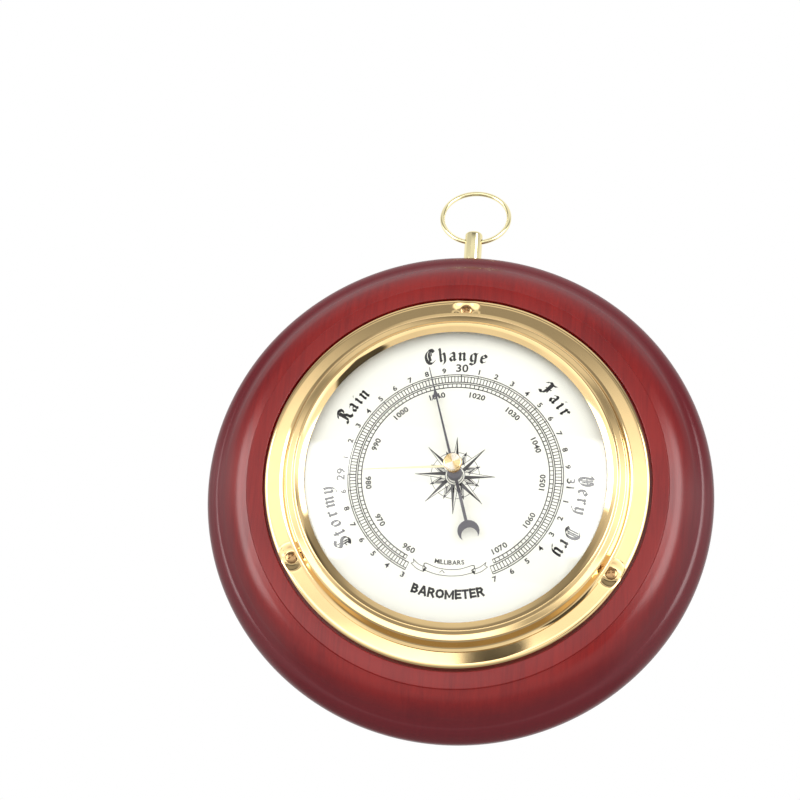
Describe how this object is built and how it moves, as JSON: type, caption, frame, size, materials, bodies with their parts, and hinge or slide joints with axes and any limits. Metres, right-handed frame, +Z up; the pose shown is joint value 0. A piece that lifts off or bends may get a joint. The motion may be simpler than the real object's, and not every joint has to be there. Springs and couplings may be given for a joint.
{
  "type": "aneroid barometer",
  "caption": "Round wall barometer: domed glass in a polished brass bezel and flange, set in a turned mahogany mount that hangs from a brass ring.",
  "frame": {"origin": "the top of the inside of the hanging ring, where a wall hook bears, with the ring leaned back to the wall", "axes": "+Z up towards 12 o'clock, +X to the right as seen from the front, the dial looks along -Y and +Y points to the wall"},
  "size_m": [0.2046, 0.0456, 0.2412],
  "materials": {
    "mahogany": "satin red-brown lacquer",
    "polished_brass": "mirror polished and lacquered",
    "turned_brass": "fine turned",
    "steel": "plain",
    "nickel": "nickel plated",
    "black_enamel": "satin black",
    "ivory_dial": "matt ivory with dark grey print",
    "clear_glass": "clear and polished",
    "rubber": "matt black"
  },
  "bodies": {
    "case": {"wood_mount": "mahogany", "hanging_stem": "polished_brass", "flanged_case": "polished_brass", "flange_screw_1": "polished_brass", "flange_screw_2": "polished_brass", "flange_screw_3": "polished_brass", "bezel_ring": "polished_brass", "glass": "clear_glass", "glass_gasket": "rubber", "glass_bush": "turned_brass", "glass_bush_nut": "turned_brass", "dial_plate": "ivory_dial", "dial_seat_ring": "polished_brass", "hairspring": "steel", "hairspring_stud": "turned_brass", "upper_bridge": "turned_brass", "lower_bridge": "turned_brass", "bridge_spacer_top": "turned_brass", "bridge_spacer_bottom": "turned_brass", "bridge_screw_top": "steel", "bridge_screw_bottom": "steel", "pillar_top": "turned_brass", "pillar_bottom": "turned_brass", "movement_base": "nickel", "movement_screw_top": "steel", "movement_screw_bottom": "steel", "capsule_lower": "nickel", "main_spring": "steel", "spring_screw_1": "steel", "spring_screw_2": "steel", "rocker_bracket": "turned_brass", "back_cover": "polished_brass"},
    "ring": {"hanging_ring": "polished_brass"},
    "reading_hand": {"set_knob": "turned_brass", "set_spindle": "turned_brass", "set_hand": "polished_brass"},
    "pressure_hand": {"pointer": "black_enamel", "pointer_hub": "black_enamel", "pointer_arbor": "steel"},
    "chain": {"arbor_chain": "steel"},
    "rocker": {"rocking_shaft": "steel"},
    "lever": {"main_lever": "steel", "lever_screw": "steel", "link_rod": "steel"},
    "capsule": {"capsule_upper": "nickel", "capsule_post": "steel"},
    "adjuster": {"adjusting_screw": "turned_brass"}
  },
  "joints": [
    {"name": "ring_swing", "type": "hinge", "parent": "case", "child": "ring", "pos_m": [0, -0.00772, -0.02645], "axis": [1, 0, 0], "range_deg": [-100, 150]},
    {"name": "set_hand_turn", "type": "hinge", "parent": "case", "child": "reading_hand", "pos_m": [0, -0.02622, -0.13705], "axis": [0, 1, 0], "continuous": true},
    {"name": "pointer_turn", "type": "hinge", "parent": "case", "child": "pressure_hand", "pos_m": [0, -0.02622, -0.13705], "axis": [0, 1, 0], "range_deg": [-138.6, 171.4]},
    {"name": "chain_slide", "type": "slide", "parent": "case", "child": "chain", "axis": [1, 0, 0], "range_m": [-0.0026, 0.0032]},
    {"name": "rocker_turn", "type": "hinge", "parent": "case", "child": "rocker", "pos_m": [0.0245, -0.01122, -0.13705], "axis": [0, 0, 1], "range_deg": [-17, 21]},
    {"name": "lever_rock", "type": "hinge", "parent": "case", "child": "lever", "pos_m": [-0.046, -0.00937, -0.13705], "axis": [0, 0, 1], "range_deg": [-0.5, 0.6]},
    {"name": "capsule_flex", "type": "slide", "parent": "case", "child": "capsule", "axis": [0, 1, 0], "range_m": [-0.000267, 0.00033]},
    {"name": "adjusting_screw_turn", "type": "hinge", "parent": "case", "child": "adjuster", "pos_m": [-0.041, -0.00322, -0.13705], "axis": [0, 1, 0], "range_deg": [-360, 360]}
  ],
  "couplings": [
    {"joint": "chain_slide", "follows": "pointer_turn", "m_per_rad": 0.001},
    {"joint": "rocker_turn", "follows": "pointer_turn", "ratio": 0.11765},
    {"joint": "lever_rock", "follows": "pointer_turn", "ratio": 0.003403},
    {"joint": "capsule_flex", "follows": "pointer_turn", "m_per_rad": 0.0001089}
  ]
}
